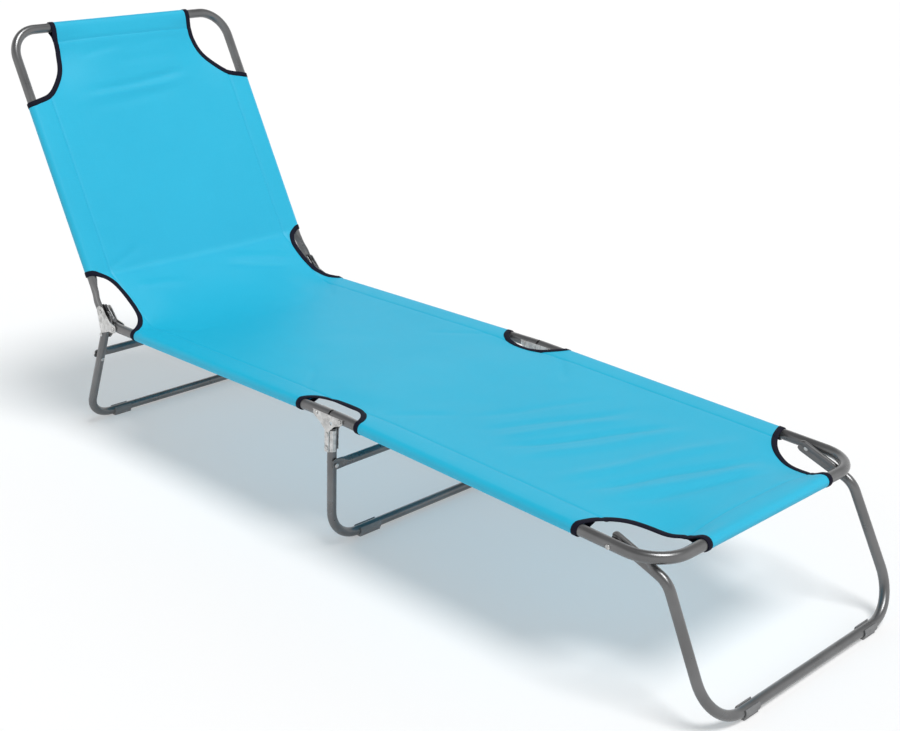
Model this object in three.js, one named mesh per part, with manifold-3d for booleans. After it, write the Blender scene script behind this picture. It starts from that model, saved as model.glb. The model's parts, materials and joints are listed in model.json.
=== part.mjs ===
// Three-section folding sun lounger with three U-shaped legs.
// Millimetres, +Z up, +X towards the foot end. The origin is on the floor, in the middle of the
// lounger. The seat section is the fixed body. The backrest, the middle leg and the head leg hang
// on it, the foot section hangs on the middle leg, and the front leg hangs on the foot section.

import * as THREE from 'three';
import { mergeVertices } from 'three/addons/utils/BufferGeometryUtils.js';
import Module from 'manifold-3d';

const wasm = await Module();
wasm.setup();

// ---------------------------------------------------------------- driving dimensions

const HALF_WIDTH = 250; // from the middle plane to the middle of a side tube
const FRAME_RADIUS = 9; // outside radius of the frame tubes
const LEG_RADIUS = 8; // outside radius of the leg tubes and crossbars
const WALL = 1.2; // wall of every tube
const GAP = 0.3; // clearance between pieces that touch or turn on each other

const TUBE_SIDES = 14;
const PIN_SIDES = 8;
const BEND_STEPS = 5;
const LEFT_SIDE = { from: -270, to: -230 }; // how far a hole drilled through one side runs
const BOTH_SIDES = { from: -270, to: 270 };

// seat section, measured from the corner where the backrest line meets the seat line
const HEAD_CORNER = new THREE.Vector3(-571, 0, 234);
const SEAT_TILT = 0.86; // degrees that the seat rises towards the foot end
const SEAT_LENGTH = 660; // from that corner to the middle of the tee brackets
const RAIL_CRANK = 20; // where the rail turns up towards the backrest pivot
const BACK_PIVOT = { x: -6, z: 26 };
const RAIL_RIVET = { x: 34, z: 0 };
const HEAD_LEG_PIVOT = { x: -15, z: -23 };

// tee brackets: the seat and the foot section each turn on their own pin
const TEE_HALF = 29; // from the middle of the tee to each pin
const TEE_LEG_TOP = { x: 26.7, z: -22 }; // from the seat pin to the top of the leg
const STEM_HALF = 4.8; // half the width of the plates' stems
const RAIL_OVERHANG = 27.2; // a rail's end past its pin, short enough to turn past the other

// backrest
const BACK_ANGLE = 61.46; // degrees above the floor
const BACK_REACH = 567; // from the pivot to the middle of the top tube
const BACK_SETBACK = 6.8; // the side tubes run this far behind the pivot
const BACK_BEND = 55;

// foot section
const FOOT_TILT = 1.48; // degrees that it falls towards the foot end
const FOOT_REACH = 640; // from its pins to the middle of the end tube
const FOOT_BEND = 60;

// legs
const FLOOR_BAR_HEIGHT = 10.5; // middle of each bottom bar above the floor
const HEAD_LEG = { lean: 23.3, top: 12, length: 218.06, yTop: 249, yBottom: 245.4, bend: 52 };
const MIDDLE_LEG = { lean: 3, top: 0, length: 211.26, yTop: 249.8, yBottom: 245.4, bend: 58 };
const HEAD_CROSSBAR_Z = -57.5;
const MIDDLE_CROSSBAR_Z = -63;

// front leg: a straight pressed arm to an elbow, then straight down to the bottom bar
const FRONT_PIVOT = { x: 556, z: -1 };
const FRONT_LEG = { slope: 19.4, tail: 13, elbow: 90, drop: 44.2, length: 209.57, y: 233.5 };
const FRONT_LEG_Y_BOTTOM = 241;
const FRONT_LEG_BENDS = { elbow: 38, bottom: 68 };
const WASHER = { radius: 8, from: -240.7, to: -236.9 };

// pressed tube ends, where a tube is squeezed flat to be riveted
const PRESSED = { thickness: 5, width: 22.5 };
const CROSSBAR_PRESSED = { thickness: 4, width: 20 };
const FRONT_PRESSED = { thickness: 6, width: 20 };

// rivets
const RIVET_RADIUS = 2.5;
const HEAD_RADIUS = 4.6;
const HEAD_HEIGHT = 1.8;

// foot sleeves on the bottom bars, each on a straight stretch next to the corner bend
const SLEEVE = { radius: 10.5, halfBase: 7 };
const HEAD_SLEEVE = { y: 171, length: 38 };
const MIDDLE_SLEEVE = { y: 164, length: 46 };
const FRONT_SLEEVE = { y: 155, length: 34 };

// fabric panels
const PANEL = { thickness: 3.5, above: 4.5, halfWidth: 238 };

// sheets and ends at the hinges, as distances from the middle plane
const OUTER_PLATE = { from: -261.2, to: -259.7 };
const INNER_PLATE = { from: -240.4, to: -238.9 };
const BACK_END_Y = -256.7;
const DISC_Y = { from: -253.9, to: -250.4 };
const CRANK_Y = -247.4;
const SPRING_Y = { from: -254, to: -250.6 };

// ---------------------------------------------------------------- materials

const paint = (colour, roughness, metalness) =>
  new THREE.MeshStandardMaterial({ color: colour, roughness, metalness });

const tubeMaterial = () => paint(0x8d8f90, 0.42, 0.75);
const zincMaterial = () => paint(0xc9cac8, 0.35, 0.9);
const darkSteelMaterial = () => paint(0x4a4b4d, 0.5, 0.8);
const springMaterial = () => paint(0x9a9c9e, 0.3, 0.95);
const sleeveMaterial = () => paint(0x55575a, 0.6, 0.0);
const washerMaterial = () => paint(0x2b2c2e, 0.6, 0.0);
const fabricMaterial = () => paint(0x1fb4e0, 0.85, 0.0);

// ---------------------------------------------------------------- small helpers

const radians = THREE.MathUtils.degToRad;
const at = (x, y, z) => new THREE.Vector3(x, y, z);

function circlePoints(radius, sides) {
  return Array.from({ length: sides }, (_, i) => {
    const angle = ((i + 0.5) / sides) * 2 * Math.PI;
    return new THREE.Vector2(radius * Math.cos(angle), radius * Math.sin(angle));
  });
}

function toManifold(geometry) {
  const bare = geometry.clone();
  bare.deleteAttribute('normal');
  bare.deleteAttribute('uv');
  const merged = mergeVertices(bare, 1e-4);
  const mesh = new wasm.Mesh({
    numProp: 3,
    vertProperties: new Float32Array(merged.attributes.position.array),
    triVerts: new Uint32Array(merged.index.array),
  });
  return new wasm.Manifold(mesh);
}

function fromManifold(solid) {
  const mesh = solid.getMesh();
  const geometry = new THREE.BufferGeometry();
  geometry.setAttribute('position', new THREE.BufferAttribute(mesh.vertProperties, 3));
  geometry.setIndex(new THREE.BufferAttribute(mesh.triVerts, 1));
  geometry.computeVertexNormals();
  return geometry;
}

// the first geometry with all the others cut out of it
function cut(geometry, tools) {
  const solids = tools.map(toManifold);
  return fromManifold(solids.reduce((body, tool) => body.subtract(tool), toManifold(geometry)));
}

function join(...geometries) {
  return fromManifold(geometries.map(toManifold).reduce((body, other) => body.add(other)));
}

// the same piece on the other side of the middle plane
function mirrored(geometry) {
  const copy = geometry.index ? geometry.toNonIndexed() : geometry.clone();
  copy.scale(1, -1, 1);
  for (const attribute of Object.values(copy.attributes)) {
    const size = attribute.itemSize;
    for (let corner = 0; corner < attribute.count; corner += 3) {
      for (let k = 0; k < size; k += 1) {
        const second = attribute.array[(corner + 1) * size + k];
        attribute.array[(corner + 1) * size + k] = attribute.array[(corner + 2) * size + k];
        attribute.array[(corner + 2) * size + k] = second;
      }
    }
  }
  return copy;
}

// ---------------------------------------------------------------- bent tubes

// Stations along a line of corners. Each corner has a place, a bend radius and how far the
// tube is pressed flat there, from 0 to 1.
function stationsAlong(corners) {
  const stations = [];
  corners.forEach((corner, i) => {
    const before = corners[i - 1];
    const after = corners[i + 1];
    const press = corner.press ?? 0;
    const shift = corner.shift ?? 0;
    const into = corner.at.clone().sub((before ?? corner).at).normalize();
    const out = (after ?? corner).at.clone().sub(corner.at).normalize();
    if (!before || !after || !corner.bend) {
      const tangent = into.add(out).normalize();
      stations.push({ point: corner.at.clone(), tangent, press, shift });
      return;
    }
    const turn = into.angleTo(out);
    const axis = into.clone().cross(out).normalize();
    const start = corner.at.clone().addScaledVector(into, -corner.bend * Math.tan(turn / 2));
    const centre = start.addScaledVector(axis.clone().cross(into), corner.bend);
    for (let k = 0; k <= BEND_STEPS; k += 1) {
      const tangent = into.clone().applyAxisAngle(axis, (turn * k) / BEND_STEPS);
      const inward = axis.clone().cross(tangent);
      const point = centre.clone().addScaledVector(inward, -corner.bend);
      stations.push({ point, tangent, press, shift });
    }
  });
  return stations;
}

class StationPath extends THREE.Curve {
  constructor(stations) {
    super();
    this.stations = stations;
  }

  nearest(t) {
    return this.stations[Math.round(t * (this.stations.length - 1))];
  }

  getPointAt(t) {
    return this.nearest(t).point.clone();
  }

  getTangentAt(t) {
    return this.nearest(t).tangent.clone();
  }
}

// Squeezes the section at each pressed station: thinner along flat, wider across it.
function pressStations(geometry, stations, radius, size, flat) {
  const position = geometry.attributes.position;
  const vertex = new THREE.Vector3();
  for (let i = 0; i < position.count; i += 1) {
    vertex.fromBufferAttribute(position, i);
    const home = stations.reduce((best, station) => {
      const along = Math.abs(vertex.clone().sub(station.point).dot(station.tangent));
      const away = vertex.distanceTo(station.point) > radius + 0.1 ? 1000 : 0;
      return along + away < best.score ? { score: along + away, station } : best;
    }, { score: Infinity }).station;
    if (!home.press) {
      continue;
    }
    const offset = vertex.clone().sub(home.point);
    const wide = home.tangent.clone().cross(flat).normalize();
    const outside = offset.length() > radius - WALL / 2;
    const lost = outside ? 0 : WALL;
    const thin = (size.thickness / 2 - lost) / (radius - lost);
    const broad = (size.width / 2 - lost) / (radius - lost);
    const u = offset.dot(flat) * THREE.MathUtils.lerp(1, thin, home.press) + home.shift;
    const v = offset.dot(wide) * THREE.MathUtils.lerp(1, broad, home.press);
    vertex.copy(home.point).addScaledVector(flat, u).addScaledVector(wide, v);
    position.setXYZ(i, vertex.x, vertex.y, vertex.z);
  }
}

function tube(corners, radius, size = PRESSED, flat = at(0, 1, 0)) {
  const stations = stationsAlong(corners);
  const section = new THREE.Shape(circlePoints(radius, TUBE_SIDES));
  section.holes.push(new THREE.Path(circlePoints(radius - WALL, TUBE_SIDES)));
  const geometry = new THREE.ExtrudeGeometry(section, {
    steps: stations.length - 1,
    extrudePath: new StationPath(stations),
  });
  if (stations.some((station) => station.press > 0)) {
    pressStations(geometry, stations, radius, size, flat);
  }
  return geometry;
}

// ---------------------------------------------------------------- plates, rivets, sleeves

// a flat outline in x and z, as thick as the two distances from the middle plane say
function plate(outline, holes, { from, to }, sides = PIN_SIDES) {
  const shape = new THREE.Shape(outline);
  for (const { x, z, radius } of holes) {
    const points = circlePoints(radius, sides).map((p) => p.add(new THREE.Vector2(x, z)));
    shape.holes.push(new THREE.Path(points));
  }
  const geometry = new THREE.ExtrudeGeometry(shape, { depth: to - from, bevelEnabled: false });
  geometry.rotateX(Math.PI / 2);
  geometry.translate(0, to, 0);
  return geometry;
}

// points round a rivet or pivot, from one angle to another, in degrees
function lobe({ x, z }, radius, fromAngle, toAngle, steps = 5) {
  return Array.from({ length: steps + 1 }, (_, i) => {
    const angle = radians(THREE.MathUtils.lerp(fromAngle, toAngle, i / steps));
    return new THREE.Vector2(x + radius * Math.cos(angle), z + radius * Math.sin(angle));
  });
}

const CENTRE = { x: 0, z: 0 };
const corner = (x, z) => new THREE.Vector2(x, z);
const hole = ({ x, z }, radius = RIVET_RADIUS + GAP) => ({ x, z, radius });

// a cylinder along y for cutting a rivet's way through a tube
function drill({ x, z }, { from, to }) {
  const disc = new THREE.Shape(circlePoints(RIVET_RADIUS + GAP, PIN_SIDES));
  const geometry = new THREE.ExtrudeGeometry(disc, { depth: to - from, bevelEnabled: false });
  geometry.rotateX(Math.PI / 2);
  geometry.translate(x, to, z);
  return geometry;
}

// a rivet along y that grips from one distance to another, with a domed head at each end
function rivet({ x, z }, from, to) {
  const shank = RIVET_RADIUS * 0.98;
  const rim = HEAD_RADIUS;
  const profile = [
    [0, from - HEAD_HEIGHT],
    [rim * 0.7, from - HEAD_HEIGHT * 0.75],
    [rim, from],
    [shank, from],
    [shank, to],
    [rim, to],
    [rim * 0.7, to + HEAD_HEIGHT * 0.75],
    [0, to + HEAD_HEIGHT],
  ].map(([r, y]) => new THREE.Vector2(r, y));
  const geometry = new THREE.LatheGeometry(profile, PIN_SIDES);
  geometry.rotateY(Math.PI / PIN_SIDES);
  geometry.translate(x, 0, z);
  return geometry;
}

// turns a piece made along y so that it lies along x
function alongX(geometry, y) {
  geometry.rotateZ(-Math.PI / 2);
  geometry.translate(0, y, 0);
  return geometry;
}

// a sleeve round a bottom bar, with a flat base on the floor
function footSleeve({ y, length }) {
  const { radius, halfBase } = SLEEVE;
  const start = THREE.MathUtils.radToDeg(Math.acos(halfBase / radius));
  const outline = lobe(CENTRE, radius, -start, 180 + start, 10);
  outline.push(corner(-halfBase, -FLOOR_BAR_HEIGHT), corner(halfBase, -FLOOR_BAR_HEIGHT));
  const bore = hole(CENTRE, LEG_RADIUS + GAP);
  const span = { from: -y - length / 2, to: -y + length / 2 };
  return plate(outline, [bore], span, TUBE_SIDES);
}

// ---------------------------------------------------------------- scene graph

const lounger = new THREE.Group();

function section(parent, position, angle) {
  const part = new THREE.Group();
  part.position.copy(position);
  part.rotation.y = radians(angle);
  parent.add(part);
  return part;
}

function add(parent, name, geometry, material) {
  const mesh = new THREE.Mesh(geometry, material);
  mesh.name = name;
  parent.add(mesh);
  return mesh;
}

function addPair(parent, name, geometry, material) {
  add(parent, `${name}_left`, geometry, material());
  add(parent, `${name}_right`, mirrored(geometry), material());
}

const place = ({ x, z }) => at(x, 0, z);

const seat = section(lounger, HEAD_CORNER, -SEAT_TILT);
const backrest = section(seat, place(BACK_PIVOT), BACK_ANGLE + SEAT_TILT);
const headLeg = section(seat, place(HEAD_LEG_PIVOT), HEAD_LEG.lean + SEAT_TILT);
const tee = section(seat, at(SEAT_LENGTH - TEE_HALF, 0, 0), SEAT_TILT);
const middleLeg = section(tee, place(TEE_LEG_TOP), MIDDLE_LEG.lean);
const foot = section(tee, at(2 * TEE_HALF, 0, 0), FOOT_TILT);
const frontLeg = section(foot, place(FRONT_PIVOT), FRONT_LEG.slope - FOOT_TILT);

// ---------------------------------------------------------------- seat section

function seatRail() {
  const end = SEAT_LENGTH - TEE_HALF + RAIL_OVERHANG;
  const reach = BACK_PIVOT.z + 6.4;
  const towards = CRANK_Y + HALF_WIDTH;
  const line = [
    { at: at(end, -HALF_WIDTH, 0) },
    { at: at(RAIL_CRANK + 7, -HALF_WIDTH, 0) },
    { at: at(RAIL_CRANK, -HALF_WIDTH, 0), bend: 12, press: 0.6, shift: towards * 0.6 },
    { at: at(RAIL_CRANK - 9, -HALF_WIDTH, 9), press: 1, shift: towards },
    { at: at(RAIL_CRANK - reach, -HALF_WIDTH, reach), press: 1, shift: towards },
  ];
  const through = [
    drill(BACK_PIVOT, LEFT_SIDE),
    drill(RAIL_RIVET, LEFT_SIDE),
    drill({ x: SEAT_LENGTH - TEE_HALF, z: 0 }, LEFT_SIDE),
  ];
  return cut(tube(line, FRAME_RADIUS), through);
}

function headBracketOuter() {
  const outline = [
    ...lobe(RAIL_RIVET, 8.5, -90, 90),
    corner(22, 12),
    ...lobe(BACK_PIVOT, 11, 30, 180),
    corner(-13, 3),
    corner(-9, -18),
    corner(18, -8.5),
  ];
  return plate(outline, [hole(BACK_PIVOT), hole(RAIL_RIVET)], OUTER_PLATE);
}

function headBracketInner() {
  const outline = [
    ...lobe(RAIL_RIVET, 8.5, -90, 90),
    corner(18, 11),
    ...lobe(BACK_PIVOT, 9, 30, 180),
    corner(-17, 4),
    ...lobe(HEAD_LEG_PIVOT, 9, 160, 330),
    corner(14, -9),
  ];
  const holes = [hole(BACK_PIVOT), hole(RAIL_RIVET), hole(HEAD_LEG_PIVOT)];
  return plate(outline, holes, INNER_PLATE);
}

// the leaf that clicks over the notches of the recline disc, riveted on the rail's crank
function clickSpring() {
  const outline = [
    corner(31, 10.5),
    corner(33, 12),
    corner(17.5, 20.5),
    corner(10, 27),
    corner(8.6, 28),
    corner(7.6, 26.6),
    corner(11.5, 21.5),
    corner(16, 17.8),
  ];
  return plate(outline, [], SPRING_Y);
}

function seatPanel() {
  const end = SEAT_LENGTH - 4;
  const half = PANEL.halfWidth;
  const outline = [corner(14, -190), corner(52, -218), corner(84, -half), corner(572, -half)];
  outline.push(corner(600, -228), corner(end, -212));
  return fabricPanel(outline);
}

// a panel from one half of its outline, listed towards +x along the left edge
function fabricPanel(half) {
  const other = half.map((p) => corner(p.x, -p.y)).reverse();
  const shape = new THREE.Shape([...half, ...other]);
  const options = { depth: PANEL.thickness, bevelEnabled: false };
  const geometry = new THREE.ExtrudeGeometry(shape, options);
  geometry.translate(0, 0, PANEL.above);
  return geometry;
}

function addSeat() {
  addPair(seat, 'seat_rail', seatRail(), tubeMaterial);
  addPair(seat, 'head_bracket_outer', headBracketOuter(), zincMaterial);
  addPair(seat, 'head_bracket_inner', headBracketInner(), zincMaterial);
  addPair(seat, 'click_spring', clickSpring(), springMaterial);
  const outside = OUTER_PLATE.from - GAP;
  const inside = INNER_PLATE.to + GAP;
  addPair(seat, 'backrest_pivot_rivet', rivet(BACK_PIVOT, outside, inside), zincMaterial);
  addPair(seat, 'head_bracket_rivet', rivet(RAIL_RIVET, outside, inside), zincMaterial);
  const legSide = -HEAD_LEG.yTop - LEG_RADIUS - GAP;
  addPair(seat, 'head_leg_pivot_rivet', rivet(HEAD_LEG_PIVOT, legSide, inside), zincMaterial);
  add(seat, 'seat_fabric', seatPanel(), fabricMaterial());
}

// ---------------------------------------------------------------- backrest

function backrestFrame() {
  const shift = BACK_END_Y + HALF_WIDTH;
  const side = (y, sign) => [
    { at: at(11, y, -BACK_SETBACK + 4.5), press: 1, shift: sign * shift },
    { at: at(-16, y, -BACK_SETBACK + 2), press: 1, shift: sign * shift },
    { at: at(-30, y, -BACK_SETBACK), press: 0.7, shift: sign * shift * 0.6 },
    { at: at(-50, y, -BACK_SETBACK) },
    { at: at(-BACK_REACH, y, -BACK_SETBACK), bend: BACK_BEND },
  ];
  const line = [...side(-HALF_WIDTH, 1), ...side(HALF_WIDTH, -1).reverse()];
  return cut(tube(line, FRAME_RADIUS), [drill(CENTRE, BOTH_SIDES)]);
}

// the notched disc that the click spring rides on
function reclineDisc() {
  const notches = 18;
  const outline = Array.from({ length: notches * 2 }, (_, i) => {
    const angle = ((i + 0.25) / (notches * 2)) * 2 * Math.PI;
    const radius = i % 2 ? 11.2 : 12.8;
    return corner(radius * Math.cos(angle), radius * Math.sin(angle));
  });
  return plate(outline, [hole(CENTRE)], DISC_Y);
}

function backrestPanel() {
  const half = PANEL.halfWidth;
  const outline = [
    corner(-BACK_REACH + FRAME_RADIUS + 2, -168),
    corner(-535, -172),
    corner(-472, -192),
    corner(-430, -half),
    corner(-72, -half),
    corner(-44, -222),
    corner(-24, -200),
    corner(10, -176),
  ];
  const geometry = fabricPanel(outline);
  geometry.translate(0, 0, -BACK_SETBACK);
  return geometry;
}

function addBackrest() {
  add(backrest, 'backrest_frame', backrestFrame(), tubeMaterial());
  addPair(backrest, 'recline_disc', reclineDisc(), darkSteelMaterial);
  add(backrest, 'backrest_fabric', backrestPanel(), fabricMaterial());
}

// ---------------------------------------------------------------- head and middle legs

function uLeg({ top, length, yTop, yBottom, bend }, through) {
  const line = [
    { at: at(0, -yTop, top) },
    { at: at(0, -yBottom, -length), bend },
    { at: at(0, yBottom, -length), bend },
    { at: at(0, yTop, top) },
  ];
  return cut(tube(line, LEG_RADIUS), through);
}

// a leg's half width at a height in its own frame
function legY({ top, length, yTop, yBottom }, z) {
  return THREE.MathUtils.mapLinear(z, top, -length, yTop, yBottom);
}

const CROSSBAR_RIVET_DROP = 2; // below the middle of the bar
const crossbarOffset = LEG_RADIUS + GAP + CROSSBAR_PRESSED.thickness / 2;

// a bar between the two sides of a leg; its pressed ends lie against the leg, on one side of it
function crossbar(leg, z, side) {
  const x = side * crossbarOffset;
  const y = legY(leg, z);
  const line = [
    { at: at(x, -y - 9, z), press: 1 },
    { at: at(x, -y + 8, z), press: 1 },
    { at: at(x, -y + 22, z) },
    { at: at(x, y - 22, z) },
    { at: at(x, y - 8, z), press: 1 },
    { at: at(x, y + 9, z), press: 1 },
  ];
  const bar = tube(line, LEG_RADIUS, CROSSBAR_PRESSED, at(1, 0, 0));
  return cut(bar, crossbarDrills(leg, z));
}

function crossbarDrills(leg, z) {
  const y = legY(leg, z);
  return [-y, y].map((side) => {
    const tool = alongX(drill(CENTRE, { from: -20, to: 20 }), side);
    return tool.translate(0, 0, z - CROSSBAR_RIVET_DROP);
  });
}

function crossbarRivet(leg, z, side) {
  const y = legY(leg, z);
  const near = LEG_RADIUS + GAP;
  const far = crossbarOffset + CROSSBAR_PRESSED.thickness / 2 + GAP;
  const ends = side > 0 ? [-near, far] : [-far, near];
  const one = alongX(rivet(CENTRE, ends[0], ends[1]), -y);
  return one.translate(0, 0, z - CROSSBAR_RIVET_DROP);
}

function addFeet(parent, name, centre, levelAngle, sleeve) {
  const level = section(parent, centre, levelAngle);
  addPair(level, name, footSleeve(sleeve), sleeveMaterial);
}

function addHeadLeg() {
  const through = [drill(CENTRE, BOTH_SIDES), ...crossbarDrills(HEAD_LEG, HEAD_CROSSBAR_Z)];
  add(headLeg, 'head_leg', uLeg(HEAD_LEG, through), tubeMaterial());
  const bar = crossbar(HEAD_LEG, HEAD_CROSSBAR_Z, -1);
  add(headLeg, 'head_leg_crossbar', bar, tubeMaterial());
  const rivets = crossbarRivet(HEAD_LEG, HEAD_CROSSBAR_Z, -1);
  addPair(headLeg, 'head_leg_crossbar_rivet', rivets, zincMaterial);
  const bottom = at(0, 0, -HEAD_LEG.length);
  addFeet(headLeg, 'head_leg_foot', bottom, -HEAD_LEG.lean, HEAD_SLEEVE);
}

const STEM_RIVETS = [
  { x: 0, z: -9 },
  { x: 0, z: -33 },
];

// a plate with a wing for each rail and a stem down the leg
function teePlate(position, hasWindow) {
  const seatPin = { x: 0, z: 0 };
  const footPin = { x: 2 * TEE_HALF, z: 0 };
  const lean = Math.tan(radians(MIDDLE_LEG.lean));
  const stemX = (z) => TEE_LEG_TOP.x - lean * (TEE_LEG_TOP.z - z);
  const outline = [
    corner(stemX(-62) - STEM_HALF, -62),
    corner(stemX(-62) + STEM_HALF, -62),
    corner(stemX(-24) + STEM_HALF + 0.5, -24),
    corner(stemX(-24) + 17, -13),
    ...lobe(footPin, 7, -60, 25),
    corner(2 * TEE_HALF + 8, 4.5),
    corner(-8, 4.5),
    ...lobe(seatPin, 7, 155, 240),
    corner(stemX(-24) - 17, -13),
    corner(stemX(-24) - STEM_HALF - 0.5, -24),
  ];
  const stemHoles = STEM_RIVETS.map((p) => {
    const z = TEE_LEG_TOP.z + p.z;
    return hole({ x: stemX(z), z });
  });
  const holes = [hole(seatPin), hole(footPin), ...stemHoles];
  if (hasWindow) {
    holes.push({ x: TEE_HALF + 8, z: -9, radius: 3.2 });
  }
  return plate(outline, holes, position);
}

// half a tube that wraps the outside of the leg, in the leg's own frame
function stemWrap() {
  const y = -MIDDLE_LEG.yTop;
  const inner = LEG_RADIUS + GAP + 0.1;
  const outer = LEG_RADIUS + 2.2;
  const arc = (radius, from, to) => lobe(CENTRE, radius, from, to, 6);
  const shape = new THREE.Shape([...arc(outer, 180, 360), ...arc(inner, 360, 180)]);
  const geometry = new THREE.ExtrudeGeometry(shape, { depth: 38, bevelEnabled: false });
  geometry.translate(0, y, -40);
  return geometry;
}

function teeOuter() {
  const wrap = stemWrap();
  middleLeg.updateMatrix();
  wrap.applyMatrix4(middleLeg.matrix);
  const whole = join(teePlate(OUTER_PLATE, true), wrap);
  const lean = Math.tan(radians(MIDDLE_LEG.lean));
  const tools = STEM_RIVETS.map((p) => {
    const z = TEE_LEG_TOP.z + p.z;
    return drill({ x: TEE_LEG_TOP.x + lean * p.z, z }, LEFT_SIDE);
  });
  return cut(whole, tools);
}

function addMiddleLeg() {
  const through = [
    ...STEM_RIVETS.map((p) => drill(p, BOTH_SIDES)),
    ...crossbarDrills(MIDDLE_LEG, MIDDLE_CROSSBAR_Z),
  ];
  add(middleLeg, 'middle_leg', uLeg(MIDDLE_LEG, through), tubeMaterial());
  const bar = crossbar(MIDDLE_LEG, MIDDLE_CROSSBAR_Z, 1);
  add(middleLeg, 'middle_leg_crossbar', bar, tubeMaterial());
  const rivets = crossbarRivet(MIDDLE_LEG, MIDDLE_CROSSBAR_Z, 1);
  addPair(middleLeg, 'middle_leg_crossbar_rivet', rivets, zincMaterial);
  addPair(tee, 'tee_bracket_outer', teeOuter(), zincMaterial);
  addPair(tee, 'tee_bracket_inner', teePlate(INNER_PLATE, false), zincMaterial);
  const outside = OUTER_PLATE.from - GAP;
  const inside = INNER_PLATE.to + GAP;
  const pin = rivet(CENTRE, outside, inside);
  addPair(tee, 'tee_seat_pivot_rivet', pin, zincMaterial);
  addPair(tee, 'tee_foot_pivot_rivet', pin.clone().translate(2 * TEE_HALF, 0, 0), zincMaterial);
  STEM_RIVETS.forEach((p, i) => {
    const name = i ? 'tee_stem_rivet_lower' : 'tee_stem_rivet_upper';
    addPair(middleLeg, name, rivet(p, outside, inside), zincMaterial);
  });
  const bottom = at(0, 0, -MIDDLE_LEG.length);
  addFeet(middleLeg, 'middle_leg_foot', bottom, -MIDDLE_LEG.lean, MIDDLE_SLEEVE);
}

// ---------------------------------------------------------------- foot section and front leg

function footFrame() {
  const line = [
    { at: at(-RAIL_OVERHANG, -HALF_WIDTH, 0) },
    { at: at(FOOT_REACH, -HALF_WIDTH, 0), bend: FOOT_BEND },
    { at: at(FOOT_REACH, HALF_WIDTH, 0), bend: FOOT_BEND },
    { at: at(-RAIL_OVERHANG, HALF_WIDTH, 0) },
  ];
  const through = [drill(CENTRE, BOTH_SIDES), drill(FRONT_PIVOT, BOTH_SIDES)];
  return cut(tube(line, FRAME_RADIUS), through);
}

function footPanel() {
  const half = PANEL.halfWidth;
  const outline = [
    corner(-25, -212),
    corner(8, -214),
    corner(30, -228),
    corner(44, -half),
    corner(486, -half),
    corner(518, -212),
    corner(560, -186),
    corner(605, -170),
    corner(FOOT_REACH - FRAME_RADIUS - 2, -160),
  ];
  return fabricPanel(outline);
}

// where the middle of the front leg's bottom bar is, in the leg's own frame
function frontBar() {
  const fall = radians(FRONT_LEG.drop);
  const { elbow, length } = FRONT_LEG;
  return at(elbow + length * Math.cos(fall), 0, -length * Math.sin(fall));
}

function frontLegTube() {
  const { tail, elbow, y } = FRONT_LEG;
  const bar = frontBar();
  const side = (sign) => [
    { at: at(-tail, sign * y, 0), press: 1 },
    { at: at(elbow - 36, sign * y, 0), press: 1 },
    { at: at(elbow - 20, sign * y, 0), press: 0.35 },
    { at: at(elbow, sign * y, 0), bend: FRONT_LEG_BENDS.elbow },
    { at: at(bar.x, sign * FRONT_LEG_Y_BOTTOM, bar.z), bend: FRONT_LEG_BENDS.bottom },
  ];
  const line = [...side(-1), ...side(1).reverse()];
  return cut(tube(line, LEG_RADIUS, FRONT_PRESSED), [drill(CENTRE, BOTH_SIDES)]);
}

// the spacer between a side tube and the pressed end of the front leg
function frontLegWasher() {
  const rim = circlePoints(WASHER.radius, 2 * PIN_SIDES);
  const outline = rim.map((p) => p.add(corner(FRONT_PIVOT.x, FRONT_PIVOT.z)));
  return plate(outline, [hole(FRONT_PIVOT)], WASHER);
}

function addFoot() {
  add(foot, 'foot_frame', footFrame(), tubeMaterial());
  add(foot, 'foot_fabric', footPanel(), fabricMaterial());
  const inside = -FRONT_LEG.y + FRONT_PRESSED.thickness / 2 + GAP;
  const pivot = rivet(FRONT_PIVOT, -HALF_WIDTH - FRAME_RADIUS - GAP, inside);
  addPair(foot, 'front_leg_pivot_rivet', pivot, zincMaterial);
  addPair(foot, 'front_leg_washer', frontLegWasher(), washerMaterial);
}

function addFrontLeg() {
  add(frontLeg, 'front_leg', frontLegTube(), tubeMaterial());
  addFeet(frontLeg, 'front_leg_foot', frontBar(), -FRONT_LEG.slope, FRONT_SLEEVE);
}

addSeat();
addBackrest();
addHeadLeg();
addMiddleLeg();
addFoot();
addFrontLeg();

export default lounger;
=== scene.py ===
"""A folding sun lounger: fabric, tubes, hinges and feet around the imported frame."""

import json
import math

import bpy
import numpy as np
from mathutils import Matrix, Vector, noise
from mathutils.geometry import delaunay_2d_cdt

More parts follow.
